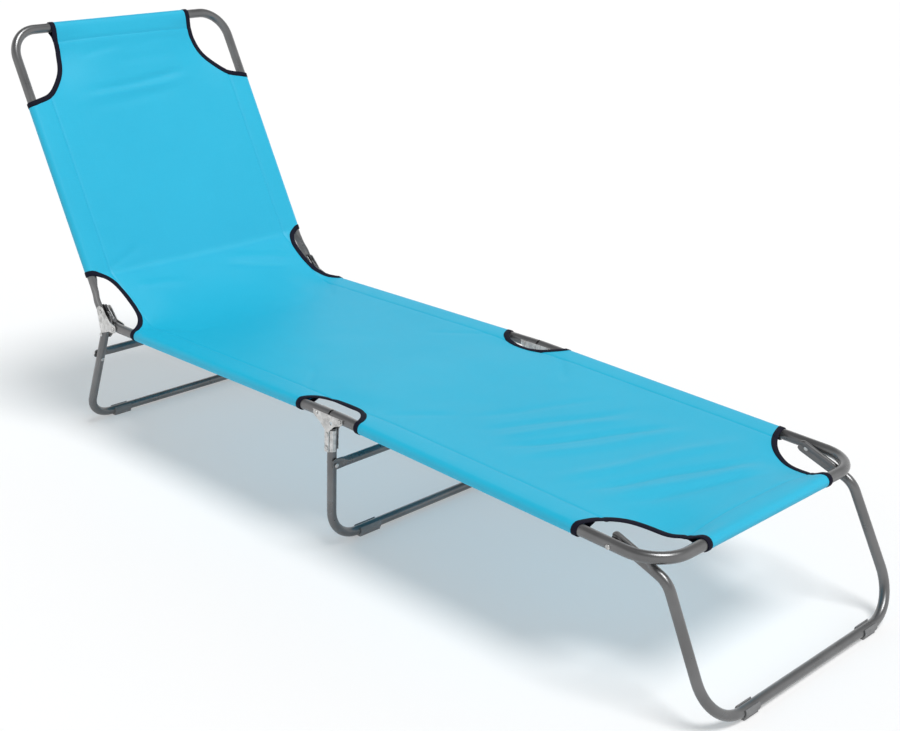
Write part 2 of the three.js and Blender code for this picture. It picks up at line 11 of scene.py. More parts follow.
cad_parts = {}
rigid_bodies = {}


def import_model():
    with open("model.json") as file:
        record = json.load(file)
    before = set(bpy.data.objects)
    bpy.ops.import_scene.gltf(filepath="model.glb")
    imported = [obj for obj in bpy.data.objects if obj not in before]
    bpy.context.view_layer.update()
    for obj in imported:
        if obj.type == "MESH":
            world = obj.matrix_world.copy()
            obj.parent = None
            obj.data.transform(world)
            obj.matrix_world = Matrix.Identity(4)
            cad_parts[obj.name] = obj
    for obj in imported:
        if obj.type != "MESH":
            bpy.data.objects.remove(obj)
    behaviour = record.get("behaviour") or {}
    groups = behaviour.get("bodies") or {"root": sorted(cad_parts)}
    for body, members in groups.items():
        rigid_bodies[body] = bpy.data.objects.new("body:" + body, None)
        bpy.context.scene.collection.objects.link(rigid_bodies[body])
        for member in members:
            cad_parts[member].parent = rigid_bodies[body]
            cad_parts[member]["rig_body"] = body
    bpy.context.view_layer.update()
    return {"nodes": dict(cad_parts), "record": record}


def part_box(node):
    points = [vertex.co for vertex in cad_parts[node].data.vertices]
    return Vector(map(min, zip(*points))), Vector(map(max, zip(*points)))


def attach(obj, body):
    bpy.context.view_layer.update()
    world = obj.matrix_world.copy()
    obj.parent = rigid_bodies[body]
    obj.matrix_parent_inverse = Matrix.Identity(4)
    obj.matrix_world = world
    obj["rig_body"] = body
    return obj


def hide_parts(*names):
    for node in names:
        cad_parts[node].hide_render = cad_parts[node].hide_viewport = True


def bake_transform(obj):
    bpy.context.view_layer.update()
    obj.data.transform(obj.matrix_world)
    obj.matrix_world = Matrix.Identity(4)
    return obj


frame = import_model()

# ---- driving dimensions
# Lengths are in millimetres and are turned into metres where a mesh is made.

MM = 0.001
HALF_WIDTH = 250.0
FRAME_RADIUS = 9.0
LEG_RADIUS = 8.0
WALL = 1.2
GAP = 0.3

HEAD_CORNER = Vector((-571.0, 0.0, 234.0))
SEAT_TILT = 0.86
SEAT_LENGTH = 660.0
RAIL_CRANK = 20.0
BACK_PIVOT = (-6.0, 26.0)
HEAD_LEG_PIVOT = (-15.0, -23.0)
TEE_HALF = 29.0
TEE_LEG_TOP = (26.7, -22.0)
RAIL_OVERHANG = 27.2
BACK_ANGLE = 61.46
BACK_REACH = 567.0
BACK_SETBACK = 6.8
BACK_BEND = 55.0
FOOT_TILT = 1.48
FOOT_REACH = 640.0
FOOT_BEND = 60.0
HEAD_LEG = dict(lean=23.3, top=12.0, length=218.06, y_top=249.0, y_bottom=245.4, bend=52.0)
MIDDLE_LEG = dict(lean=3.0, top=0.0, length=211.26, y_top=249.8, y_bottom=245.4, bend=58.0)
HEAD_CROSSBAR_Z = -57.5
MIDDLE_CROSSBAR_Z = -63.0
FRONT_PIVOT = (556.0, -1.0)
FRONT_LEG = dict(slope=19.4, tail=13.0, elbow=90.0, drop=44.2, length=209.57, y=233.5)
FRONT_LEG_Y_BOTTOM = 241.0
FRONT_LEG_BENDS = dict(elbow=38.0, bottom=68.0)
PRESSED = dict(thickness=5.0, width=22.5)
CROSSBAR_PRESSED = dict(thickness=4.0, width=20.0)
FRONT_PRESSED = dict(thickness=9.0, width=20.0)
FRONT_PRESSED_SHIFT = 1.5  # the leg's pressed end is thicker on its inner side
BACK_END_Y = 256.7
CRANK_Y = 247.4

TUBE_SIDES = 32
BEND_STEP = 6.0  # degrees of bend between two rings of a tube
END_CORNER = 7.0  # how far from its end a pressed tube starts to narrow
BORE_DEPTH = 12.0

# fabric
CLOTH = 0.9  # thickness
WRAP = FRAME_RADIUS + 0.75  # from a tube's middle to the middle of the cloth round it
SEAM_Y = 212.0  # where a side tunnel is sewn, from the middle
SEAM_DEPTH = 1.1  # how far the sewn edge lies under the cloth
BAR_HEM = 30.0  # from an end bar to the seam of its tunnel
GRID = 6.5  # spacing of the cloth's points
EDGE_GAP = 2.2  # the least distance from such a point to the cloth's edge
CREASE = 68.0  # up the backrest from its pivot, where the cloth leaves the tubes
LANDING = 92.0  # along the seat from the head corner, where it meets the rails
SHEET_SPLIT = 70.0  # past the landing, where the backrest's sheet ends and the seat's starts
HEAD_CUT = BACK_REACH - 422  # along the cloth, where the head corners' cut-outs end
CUT_MOUTH = 262  # distance from the middle past which a cut-out's sides run straight
CUT_STEP = 4  # spacing of the points along a cut
CUT_OVERRUN = 6  # how far a cut's line runs past the cloth's edge
FOLD_DEPTH = 1.5  # how much deeper every fold is than its entry in FOLDS
STITCH = 4.2  # from one stitch to the next
STITCH_SHARE = 0.72  # how much of that the thread shows

# rivets, sleeves, light
RIVET = dict(shank=2.4, rim=4.0, height=1.8)
RIVET_REACH = 1.6  # how far a crossbar's rivet stands out past its grip, at each end
SLEEVE = dict(radius=10.5, base=7.0, rise=40.0, rounding=0.6, end=0.93)
WALL_LIGHT = 1.0
CEILING_LIGHT = 0.16
LIGHT_FADE = (0.42, 0.72)  # heights on the sky, where 1 is overhead, between which it changes


# ---- turned frames

def turned(place, degrees, parent=None):
    """A frame at (x, z) in its parent, turned about +Y as the hinges turn."""
    x, z = place
    matrix = Matrix.Translation((x, 0, z)) @ Matrix.Rotation(math.radians(degrees), 4, "Y")
    return parent @ matrix if parent else matrix


SEAT = turned((HEAD_CORNER.x, HEAD_CORNER.z), -SEAT_TILT)
BACK = turned(BACK_PIVOT, BACK_ANGLE + SEAT_TILT, SEAT)
HEAD_LEG_FRAME = turned(HEAD_LEG_PIVOT, HEAD_LEG["lean"] + SEAT_TILT, SEAT)
TEE = turned((SEAT_LENGTH - TEE_HALF, 0), SEAT_TILT, SEAT)
MIDDLE_LEG_FRAME = turned(TEE_LEG_TOP, MIDDLE_LEG["lean"], TEE)
FOOT = turned((2 * TEE_HALF, 0), FOOT_TILT, TEE)
FRONT_LEG_FRAME = turned(FRONT_PIVOT, FRONT_LEG["slope"] - FOOT_TILT, FOOT)


def smooth(t):
    t = min(1.0, max(0.0, t))
    return t * t * (3 - 2 * t)


def mix(a, b, t):
    return a + (b - a) * t


# ---- materials

def set_inputs(node, values):
    for name, value in values.items():
        node.inputs[name].default_value = value


def new_material(name, colour, roughness, metallic=0.0):
    """A material, its node tree and its main shader."""
    material = bpy.data.materials.new(name)
    material.use_nodes = True
    shader = material.node_tree.nodes["Principled BSDF"]
    set_inputs(shader, {"Base Color": (*colour, 1), "Roughness": roughness, "Metallic": metallic})
    return material, material.node_tree, shader


def noise_node(tree, scale, detail=4.0, source=None, stretch=(1, 1, 1)):
    """A noise texture over the object's own coordinates, or over another vector."""
    coordinates = tree.nodes.new("ShaderNodeTexCoord")
    mapping = tree.nodes.new("ShaderNodeMapping")
    texture = tree.nodes.new("ShaderNodeTexNoise")
    set_inputs(mapping, {"Scale": stretch})
    set_inputs(texture, {"Scale": scale, "Detail": detail})
    tree.links.new(source or coordinates.outputs["Object"], mapping.inputs["Vector"])
    tree.links.new(mapping.outputs["Vector"], texture.inputs["Vector"])
    return texture.outputs["Fac"]


def map_range(tree, value, low, high, start=0.35, end=0.65):
    node = tree.nodes.new("ShaderNodeMapRange")
    set_inputs(node, {"From Min": start, "From Max": end, "To Min": low, "To Max": high})
    tree.links.new(value, node.inputs["Value"])
    return node.outputs["Result"]


def colour_mix(tree, factor, first, second):
    node = tree.nodes.new("ShaderNodeMix")
    node.data_type = "RGBA"
    for socket, value in (("A", first), ("B", second)):
        target = [s for s in node.inputs if s.name == socket and s.type == "RGBA"][0]
        if isinstance(value, tuple):
            target.default_value = (*value, 1)
        else:
            tree.links.new(value, target)
    tree.links.new(factor, node.inputs["Factor"])
    return [s for s in node.outputs if s.type == "RGBA"][0]


def bump(tree, shader, height, strength, distance, below=None):
    node = tree.nodes.new("ShaderNodeBump")
    set_inputs(node, {"Strength": strength, "Distance": distance})
    tree.links.new(height, node.inputs["Height"])
    if below:
        tree.links.new(below, node.inputs["Normal"])
    tree.links.new(node.outputs["Normal"], shader.inputs["Normal"])
    return node.outputs["Normal"]


def tube_paint():
    """Silver grey paint: fine orange peel, slightly cloudy, with a sparse metallic fleck."""
    material, tree, shader = new_material("tube_paint", (0.18, 0.18, 0.182), 0.34, 0.65)
    cloud = map_range(tree, noise_node(tree, 18, 3), 0, 1)
    grey = colour_mix(tree, cloud, (0.135, 0.136, 0.138), (0.165, 0.166, 0.168))
    fleck = map_range(tree, noise_node(tree, 2600, 2), 0, 0.3, 0.6, 0.8)
    tree.links.new(colour_mix(tree, fleck, grey, (0.22, 0.22, 0.225)), shader.inputs["Base Color"])
    tree.links.new(map_range(tree, noise_node(tree, 25, 3), 0.27, 0.35), shader.inputs["Roughness"])
    set_inputs(shader, {"Coat Weight": 0.2, "Coat Roughness": 0.18})
    bump(tree, shader, noise_node(tree, 700, 2), 0.05, 0.0003)
    return material


def zinc_plate():
    """Bright zinc: soft crystals, rubbed lines from the press, duller in patches."""
    material, tree, shader = new_material("zinc", (0.6, 0.6, 0.59), 0.36, 0.7)
    patch = map_range(tree, noise_node(tree, 90, 4), 0, 1)
    zinc = colour_mix(tree, patch, (0.4, 0.4, 0.395), (0.66, 0.66, 0.65))
    tree.links.new(zinc, shader.inputs["Base Color"])
    lines = noise_node(tree, 700, 3, stretch=(1, 1, 0.08))
    tree.links.new(map_range(tree, lines, 0.26, 0.45), shader.inputs["Roughness"])
    bump(tree, shader, lines, 0.1, 0.0002)
    return material


def plain_metal(name, colour, roughness):
    material, tree, shader = new_material(name, colour, roughness, 0.9)
    shade = map_range(tree, noise_node(tree, 120, 4), 0, 1)
    darker = tuple(c * 0.7 for c in colour)
    tree.links.new(colour_mix(tree, shade, darker, colour), shader.inputs["Base Color"])
    rough = noise_node(tree, 300, 3)
    worn = map_range(tree, rough, roughness * 0.8, roughness * 1.3)
    tree.links.new(worn, shader.inputs["Roughness"])
    bump(tree, shader, rough, 0.1, 0.0002)
    return material


def moulded_plastic(name, colour):
    """Matt moulded plastic with a fine spark-eroded grain and scuffed patches."""
    material, tree, shader = new_material(name, colour, 0.55)
    scuff = map_range(tree, noise_node(tree, 45, 5), 0, 1, 0.5, 0.75)
    lighter = tuple(min(1, c * 1.35 + 0.01) for c in colour)
    tree.links.new(colour_mix(tree, scuff, colour, lighter), shader.inputs["Base Color"])
    tree.links.new(map_range(tree, noise_node(tree, 70, 3), 0.48, 0.66), shader.inputs["Roughness"])
    bump(tree, shader, noise_node(tree, 1800, 2), 0.25, 0.0003)
    return material


def weave_height(tree, flat, pitch):
    """Height of a plain weave over the flat cut of the cloth: threads that pass over and under."""
    split = tree.nodes.new("ShaderNodeSeparateXYZ")
    tree.links.new(flat, split.inputs["Vector"])
    waves = []
    for axis in ("X", "Y"):
        scaled = math_node(tree, "MULTIPLY", split.outputs[axis], 2 * math.pi / pitch)
        waves.append(math_node(tree, "SINE", scaled))
    crossing = math_node(tree, "MULTIPLY", waves[0], waves[1])
    return math_node(tree, "MULTIPLY_ADD", crossing, 0.5, 0.5)


def math_node(tree, operation, *values):
    node = tree.nodes.new("ShaderNodeMath")
    node.operation = operation
    for socket, value in zip(node.inputs, values):
        if isinstance(value, (int, float)):
            socket.default_value = value
        else:
            tree.links.new(value, socket)
    return node.outputs["Value"]


def woven(name, deep, pale, pitch, roughness, gloss):
    """Woven polyester: thread relief, slubs along both threads, faint uneven dye, and painted shade
    where the weave dips between the threads.
    """
    material, tree, shader = new_material(name, deep, roughness)
    uv = tree.nodes.new("ShaderNodeUVMap")
    uv.uv_map = "flat"
    flat = uv.outputs["UV"]
    weave = weave_height(tree, flat, pitch)
    warp = noise_node(tree, 800, 3, flat, (1, 0.03, 1))
    weft = noise_node(tree, 800, 3, flat, (0.03, 1, 1))
    slubs = math_node(tree, "ADD", warp, weft)
    dye = map_range(tree, noise_node(tree, 4, 3, flat), 0, 0.5)
    thread = map_range(tree, slubs, 0, 0.5, 0.8, 1.2)
    cloth = colour_mix(tree, math_node(tree, "ADD", dye, thread), deep, pale)
    # painted shade: the base colour darkens where the weave dips between the threads
    shadow = map_range(tree, weave, 0.14, 0, 0.0, 0.6)
    weave_shade_colour = tuple(c * 0.6 for c in deep)
    tree.links.new(colour_mix(tree, shadow, cloth, weave_shade_colour), shader.inputs["Base Color"])
    set_inputs(shader, {"Specular IOR Level": gloss})
    below = bump(tree, shader, slubs, 0.06, 0.0004)
    bump(tree, shader, weave, 0.3, 0.0003, below)
    return material


MATERIALS = {
    "tube_paint": tube_paint(),
    "zinc": zinc_plate(),
    "dark_steel": plain_metal("dark_steel", (0.09, 0.09, 0.095), 0.42),
    "spring_steel": plain_metal("spring_steel", (0.4, 0.41, 0.42), 0.28),
    "foot_plastic": moulded_plastic("foot_plastic", (0.16, 0.162, 0.165)),
    "washer_plastic": moulded_plastic("washer_plastic", (0.03, 0.03, 0.032)),
    "fabric": woven("fabric", (0.0, 0.4, 0.61), (0.004, 0.43, 0.645), 0.0011, 0.5, 0.5),
    "edge_tape": woven(
        "edge_tape", (0.005, 0.005, 0.013), (0.009, 0.009, 0.021), 0.0013, 0.75, 0.12
    ),
}


def new_object(name, data):
    thing = bpy.data.objects.new(name, data)
    bpy.context.scene.collection.objects.link(thing)
    return thing


def ring_faces(count, rings, flip=False):
    """Faces between rings of count points and a cap at each end; flip for the other way round."""
    faces = []
    for i in range(rings - 1):
        for k in range(count):
            a, b = i * count + k, i * count + (k + 1) % count
            faces.append((a, a + count, b + count, b) if flip else (a, b, b + count, a + count))
    first, last = tuple(range(count)), tuple(range((rings - 1) * count, rings * count))
    return faces + ([first, last[::-1]] if flip else [first[::-1], last])


def mesh_object(name, points, faces, slot, smooth_angle=40.0, uv=None):
    """A new piece from points in millimetres, with its slot's material."""
    mesh = bpy.data.meshes.new(name)
    mesh.from_pydata([Vector(p) * MM for p in points], [], faces)
    mesh.validate()
    if uv is not None:
        layer = mesh.uv_layers.new(name="flat")
        for loop in mesh.loops:
            layer.data[loop.index].uv = uv[loop.vertex_index]
    mesh.shade_smooth()
    mesh.set_sharp_from_angle(angle=math.radians(smooth_angle))
    mesh.materials.append(MATERIALS[slot])
    piece = new_object(name, mesh)
    return piece


def slot_of(node):
    return next(s["material_slot"] for s in frame["record"]["subparts"] if s["node"] == node)


def body_of(node):
    return frame["nodes"][node]["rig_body"]


def stand_for(piece, node):
    """The piece takes the place of a CAD node and moves with its body."""
    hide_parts(node)
    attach(piece, body_of(node))


# ---- bent tubes

def stations_along(corners):
    """Rings along a line of corners: place, direction, how far pressed, how far shifted."""
    rings = []
    for i, corner in enumerate(corners):
        at = corner["at"]
        before = corners[i - 1]["at"] if i else None
        after = corners[i + 1]["at"] if i + 1 < len(corners) else None
        press, shift = corner.get("press", 0.0), corner.get("shift", 0.0)
        into = (at - before).normalized() if before else (after - at).normalized()
        out = (after - at).normalized() if after else into
        if not before or not after or not corner.get("bend"):
            rings.append((at, (into + out).normalized(), press, shift))
            continue
        turn = into.angle(out)
        axis = into.cross(out).normalized()
        start = at - into * corner["bend"] * math.tan(turn / 2)
        centre = start + axis.cross(into) * corner["bend"]
        steps = max(4, round(math.degrees(turn) / BEND_STEP))
        for k in range(steps + 1):
            tangent = Matrix.Rotation(turn * k / steps, 3, axis) @ into
            rings.append((centre - axis.cross(tangent) * corner["bend"], tangent, press, shift))
    return rings


def eased(rings, spacing=6.0):
    """More rings where the pressing changes, so that it changes smoothly, and at pressed ends."""
    out = [rings[0]]
    last = len(rings) - 2
    for i, ((p0, t0, a0, s0), (p1, t1, a1, s1)) in enumerate(zip(rings, rings[1:])):
        pressed_end = i in (0, last) and a0 == a1 == 1
        gap = 1.8 if pressed_end else spacing
        changes = a0 != a1 or s0 != s1 or pressed_end
        steps = max(1, round((p1 - p0).length / gap)) if changes else 1
        for k in range(1, steps + 1):
            t = k / steps
            out.append((p0.lerp(p1, t), t0.lerp(t1, t).normalized(), mix(a0, a1, smooth(t)),
                        mix(s0, s1, smooth(t))))
    return out


def pressed_half(spread, thickness):
    """Half the thickness of a pressed end: two ridges with a groove between them."""
    rounded = math.sqrt(max(0.0, 1 - spread**6))
    return thickness / 2 * rounded * (1 - 0.5 * math.exp(-(spread / 0.32) ** 2))


def ring_points(ring, radius, lost, size, flat, start, from_end):
    """One ring of a tube. Where it is pressed it is thin along flat, and narrower at its end."""
    point, tangent, press, shift = ring
    side = start - tangent * start.dot(tangent)
    side.normalize()
    up = tangent.cross(side)
    broad = tangent.cross(flat).normalized()
    clipped = min(1.0, from_end / END_CORNER)
    narrow = math.sqrt(1 - 0.5 * (1 - clipped) ** 2)
    points = []
    for k in range(TUBE_SIDES):
        angle = 2 * math.pi * k / TUBE_SIDES
        offset = (side * math.cos(angle) + up * math.sin(angle)) * (radius - lost)
        if press:
            u, v = offset.dot(flat), offset.dot(broad)
            spread = max(-1.0, min(1.0, v / (radius - lost)))
            thin = max(0.12, pressed_half(spread, size["thickness"]) - lost)
            thin = math.copysign(thin if abs(spread) < 0.999 else 0.0, u)
            wide = spread * (size["width"] / 2 - lost) * narrow
            offset = flat * (mix(u, thin, press) + shift) + broad * mix(v, wide, press)
        points.append(point + offset)
    return points


def tube_mesh(corners, radius, size, flat):
    """Points and faces of a tube along corners, with a short bore in each end."""
    rings = eased(stations_along(corners))
    tangent = rings[0][1]
    start = Vector((0, 1, 0)) if abs(tangent.y) < 0.9 else Vector((1, 0, 0))
    lengths = [0.0]
    for a, b in zip(rings, rings[1:]):
        lengths.append(lengths[-1] + (b[0] - a[0]).length)
    outer, inner = [], []
    for ring, length in zip(rings, lengths):
        side = start - ring[1] * start.dot(ring[1])
        start = side.normalized()
        from_end = min(length, lengths[-1] - length)
        outer.append(ring_points(ring, radius, 0.0, size, flat, start, from_end))
        inner.append(ring_points(ring, radius, WALL, size, flat, start, from_end))
    deep = []
    for end, near in ((0, 1), (-1, -2)):
        way = (rings[near][0] - rings[end][0]).normalized()
        deep.append([p + way * BORE_DEPTH for p in inner[end]])
    loops = [deep[0], inner[0], *outer, inner[-1], deep[1]]
    return [p for loop in loops for p in loop], ring_faces(TUBE_SIDES, len(loops))


def place_tube(name, node, matrix, corners, radius, size=PRESSED, flat=Vector((0, 1, 0))):
    points, faces = tube_mesh(corners, radius, size, flat)
    piece = mesh_object(name, [matrix @ p for p in points], faces, "tube_paint", 50.0)
    stand_for(piece, node)


def stop(x, y, z, **more):
    return dict(at=Vector((x, y, z)), **more)


def both_sides(side):
    """A U-shaped line: one side outwards, and the other back again."""
    return side(-1) + side(1)[::-1]


def make_rails():
    end = SEAT_LENGTH - TEE_HALF + RAIL_OVERHANG
    reach = BACK_PIVOT[1] + 6.4
    inward = HALF_WIDTH - CRANK_Y
    for name, sign in (("left", -1), ("right", 1)):
        y, shift = sign * HALF_WIDTH, -sign * inward
        line = [
            stop(end, y, 0),
            stop(RAIL_CRANK + 26, y, 0),
            stop(RAIL_CRANK + 9, y, 0, press=0.25, shift=0.3 * shift),
            stop(RAIL_CRANK, y, 0, bend=14.0, press=0.7, shift=0.7 * shift),
            stop(RAIL_CRANK - 9, y, 9, press=1.0, shift=shift),
            stop(RAIL_CRANK - reach, y, reach, press=1.0, shift=shift),
        ]
        place_tube(f"seat_tube_{name}", f"seat_rail_{name}", SEAT, line, FRAME_RADIUS)


def make_backrest_tube():
    outward = BACK_END_Y - HALF_WIDTH

    def side(sign):
        y, z, shift = sign * HALF_WIDTH, -BACK_SETBACK, sign * outward
        return [
            stop(11, y, z + 4.5, press=1.0, shift=shift),
            stop(-20, y, z + 1.6, press=1.0, shift=shift),
            stop(-42, y, z, press=0.85, shift=0.45 * shift),
            stop(-67, y, z),
            stop(-BACK_REACH, y, z, bend=BACK_BEND),
        ]

    place_tube("backrest_tube", "backrest_frame", BACK, both_sides(side), FRAME_RADIUS)


def make_foot_tube():
    def side(sign):
        y = sign * HALF_WIDTH
        return [stop(-RAIL_OVERHANG, y, 0), stop(FOOT_REACH, y, 0, bend=FOOT_BEND)]

    place_tube("foot_section_tube", "foot_frame", FOOT, both_sides(side), FRAME_RADIUS)


def leg_y(leg, z):
    t = (leg["top"] - z) / (leg["top"] + leg["length"])
    return mix(leg["y_top"], leg["y_bottom"], t)


def make_leg(name, node, matrix, leg):
    def side(sign):
        return [
            stop(0, sign * leg["y_top"], leg["top"]),
            stop(0, sign * leg["y_bottom"], -leg["length"], bend=leg["bend"]),
        ]

    place_tube(name, node, matrix, both_sides(side), LEG_RADIUS)


def make_crossbar(name, node, matrix, leg, z, sign):
    """The bar's pressed ends lie against one side of the leg."""
    x = sign * (LEG_RADIUS + GAP + CROSSBAR_PRESSED["thickness"] / 2)
    y = leg_y(leg, z)

    def side(edge):
        return [
            stop(x, edge * (y + 7), z, press=1.0),
            stop(x, edge * (y - 8), z, press=1.0),
            stop(x, edge * (y - 24), z),
        ]

    flat = Vector((1, 0, 0))
    place_tube(name, node, matrix, both_sides(side), LEG_RADIUS, CROSSBAR_PRESSED, flat)


def make_front_leg():
    fall = math.radians(FRONT_LEG["drop"])
    elbow, length = FRONT_LEG["elbow"], FRONT_LEG["length"]
    bar = Vector((elbow + length * math.cos(fall), 0, -length * math.sin(fall)))

    def side(sign):
        y, shift = sign * FRONT_LEG["y"], -sign * FRONT_PRESSED_SHIFT
        return [
            stop(-FRONT_LEG["tail"], y, 0, press=1.0, shift=shift),
            stop(elbow - 42, y, 0, press=1.0, shift=shift),
            stop(elbow - 18, y, 0),
            stop(elbow, y, 0, bend=FRONT_LEG_BENDS["elbow"]),
            stop(bar.x, sign * FRONT_LEG_Y_BOTTOM, bar.z, bend=FRONT_LEG_BENDS["bottom"]),
        ]

    line = both_sides(side)
    place_tube("front_leg_tube", "front_leg", FRONT_LEG_FRAME, line, LEG_RADIUS, FRONT_PRESSED)


# ---- rivets, sleeves, plates

def lathe(profile, axis, centre, sides=24):
    """Points and faces turned round an axis; the profile is (radius, distance) pairs."""
    turn = Vector((0, 0, 1)).rotation_difference(axis).to_matrix()
    points = []
    for radius, distance in profile:
        for k in range(sides):
            angle = 2 * math.pi * k / sides
            local = Vector((radius * math.cos(angle), radius * math.sin(angle), distance))
            points.append(centre + turn @ local)
    return points, ring_faces(sides, len(profile))


def rivet_profile(half, shank, rim, height):
    """A rivet about its own middle: a domed head with a small set mark at each end."""
    head = [(0.18, -0.86), (0.3, -0.97), (0.5, -1.0), (0.72, -0.86), (0.9, -0.55), (1.0, -0.18),
            (0.97, 0.0)]
    low = [(rim * r, -half - height + height * (1 + h)) for r, h in head]
    up = [(r, -d) for r, d in low[::-1]]
    return low + [(shank, -half), (shank, half)] + up


def make_rivets():
    """Every rivet node gets a finely turned rivet along the same axis."""
    for node in sorted(n for n in frame["nodes"] if "rivet" in n):
        low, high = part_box(node)
        size = (high - low) / MM
        centre = (low + high) / 2 / MM
        if "crossbar" in node:
            matrix = HEAD_LEG_FRAME if "head" in node else MIDDLE_LEG_FRAME
            axis = (matrix.to_3x3() @ Vector((1, 0, 0))).normalized()
            grip = 2 * LEG_RADIUS + 3 * GAP + CROSSBAR_PRESSED["thickness"]
            span = grip + 2 * RIVET_REACH
        else:
            axis, span = Vector((0, 1, 0)), size.y
        profile = rivet_profile(span / 2 - RIVET["height"], **RIVET)
        points, faces = lathe(profile, axis, centre)
        piece = mesh_object(node + "_turned", points, faces, "zinc", 55.0)
        stand_for(piece, node)


def finish_cad_nodes():
    """The CAD nodes that stay get their slot's material and softened edges."""
    for name, node in frame["nodes"].items():
        if node.hide_render:
            continue
        node.data.materials.clear()
        node.data.materials.append(MATERIALS[slot_of(name)])
        soften = node.modifiers.new("soften", "BEVEL")
        soften.width = 0.0004
        soften.segments = 2
        soften.limit_method = "ANGLE"
        soften.angle_limit = math.radians(35)
        soften.harden_normals = True


def sleeve_outline():
    """Cross-section of a foot sleeve about the bar's middle: a saddle with a flat base."""
    outer, base, rise = SLEEVE["radius"], SLEEVE["base"], SLEEVE["rise"]
    start = math.degrees(math.asin(-math.sqrt(outer**2 - base**2) / outer))
    right = [math.radians(a) for a in np.linspace(rise, start, 12)]
    left = [math.pi - a for a in right[::-1]]
    inside = [math.radians(a) for a in np.linspace(180 - rise, 360 + rise, 28)]

    def arc(radius, angles):
        return [(radius * math.cos(a), radius * math.sin(a)) for a in angles]

    flat_base = [(base, -outer), (-base, -outer)]
    return arc(outer, right) + flat_base + arc(outer, left) + arc(LEG_RADIUS + GAP, inside)


def make_sleeves():
    """A moulded saddle for every foot node. Its ends are a little smaller, above its flat base."""
    outline = sleeve_outline()
    radius, rounding, end = SLEEVE["radius"], SLEEVE["rounding"], SLEEVE["end"]
    ends = ("_foot_left", "_foot_right")
    for node in sorted(n for n in frame["nodes"] if n.endswith(ends)):
        low, high = (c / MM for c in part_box(node))
        middle_x = (low.x + high.x) / 2
        cuts = [(low.y, end), (low.y + rounding, 1.0), (high.y - rounding, 1.0), (high.y, end)]
        points = []
        for y, swell in cuts:
            for x, z in outline:
                grow = swell if math.hypot(x, z) > LEG_RADIUS + 1 else 1.0
                height = z if z <= -radius else z * grow
                points.append(Vector((middle_x + x * grow, y, radius + height)))
        faces = ring_faces(len(outline), len(cuts), flip=True)
        piece = mesh_object(node + "_moulded", points, faces, "foot_plastic", 35.0)
        stand_for(piece, node)


# ---- the run of the cloth

def in_plane(matrix, x, z):
    p = matrix @ Vector((x, 0, z))
    return np.array((p.x, p.z))


class Run:
    """The cloth's line from the head bar to the foot bar, seen from the side.

    L is the distance along it, from the point over the head bar. The line is straight between its
    corners, and each corner is rounded by a window that can differ from the sides to the middle.
    """

    def __init__(self):
        top = -BACK_SETBACK + WRAP
        self.start = in_plane(BACK, -BACK_REACH, top)
        crease = in_plane(BACK, -CREASE, top)
        landing = in_plane(SEAT, LANDING, WRAP)
        tee = in_plane(SEAT, SEAT_LENGTH, WRAP)
        end = in_plane(FOOT, FOOT_REACH, WRAP)
        marks = [self.start, crease, landing, tee, end]
        steps = [b - a for a, b in zip(marks, marks[1:])]
        lengths = [float(np.hypot(*s)) for s in steps]
        self.ways = [s / l for s, l in zip(steps, lengths)]
        self.corners = np.cumsum(lengths)[:-1]
        self.length = float(sum(lengths))
        self.crease, self.landing, self.tee = (float(c) for c in self.corners)

    def windows(self, y):
        """Half the rounded stretch at each corner, for a distance from the middle."""
        middle = 1 - smooth((abs(y) - 120) / 110)
        return (mix(5, 7, middle), mix(14, 95, middle), 40.0)

    def at(self, l, y):
        """Place in x and z, and the unit normal that points up and forward."""
        place = self.start + self.ways[0] * l
        way = self.ways[0].copy()
        for corner, before, after, w in zip(self.corners, self.ways, self.ways[1:], self.windows(y)):
            bend, past = after - before, l - corner
            reach = max(past, 0.0)
            if abs(past) < w:
                reach += (w - abs(past)) ** 2 / (4 * w)
            place = place + bend * reach
            way = way + bend * min(1.0, max(0.0, (past + w) / (2 * w)))
        way /= np.hypot(*way)
        return place, np.array((-way[1], way[0]))


RUN = Run()


def tunnel(q):
    """Across the cloth: (y, height) of a distance q from the middle, round a tube and back."""
    sign, reach = math.copysign(1, q), abs(q)
    if reach <= HALF_WIDTH:
        return q, 0.0
    angle = (reach - HALF_WIDTH) / WRAP
    if angle <= TUNNEL_TURN:
        return sign * (HALF_WIDTH + WRAP * math.sin(angle)), WRAP * (math.cos(angle) - 1)
    past = reach - HALF_WIDTH - WRAP * TUNNEL_TURN
    y = HALF_WIDTH + WRAP * math.sin(TUNNEL_TURN) - past * abs(math.cos(TUNNEL_TURN))
    h = WRAP * (math.cos(TUNNEL_TURN) - 1) + past * abs(math.sin(TUNNEL_TURN))
    return sign * y, h


def tunnel_turn():
    """The angle that the cloth turns round a side tube, and the straight way back to its seam."""
    dy, dh = SEAM_Y - HALF_WIDTH, WRAP - SEAM_DEPTH
    away = math.hypot(dy, dh)
    to_seam = math.atan2(dy, dh) % (2 * math.pi)
    return to_seam - math.acos(WRAP / away), math.sqrt(away**2 - WRAP**2)


TUNNEL_TURN, TUNNEL_BACK = tunnel_turn()
Q_EDGE = HALF_WIDTH + WRAP * TUNNEL_TURN + TUNNEL_BACK
L_HEAD = -(math.pi * WRAP + BAR_HEM)
L_FOOT = RUN.length + math.pi * WRAP + BAR_HEM


# ---- cut-outs

def cut_outline(start, inner, end=None, last=()):
    """A cut-out's line as (L, distance from the middle), from the cloth's edge in.

    The inner points are counted from start. With an end the line comes back out to the edge.
    """
    edge = Q_EDGE + CUT_OVERRUN
    points = [(start, edge), (start, CUT_MOUTH)] + [(start + l, q) for l, q in inner]
    if end is None:
        return points
    return points + [(end + l, q) for l, q in last] + [(end, CUT_MOUTH), (end, edge)]


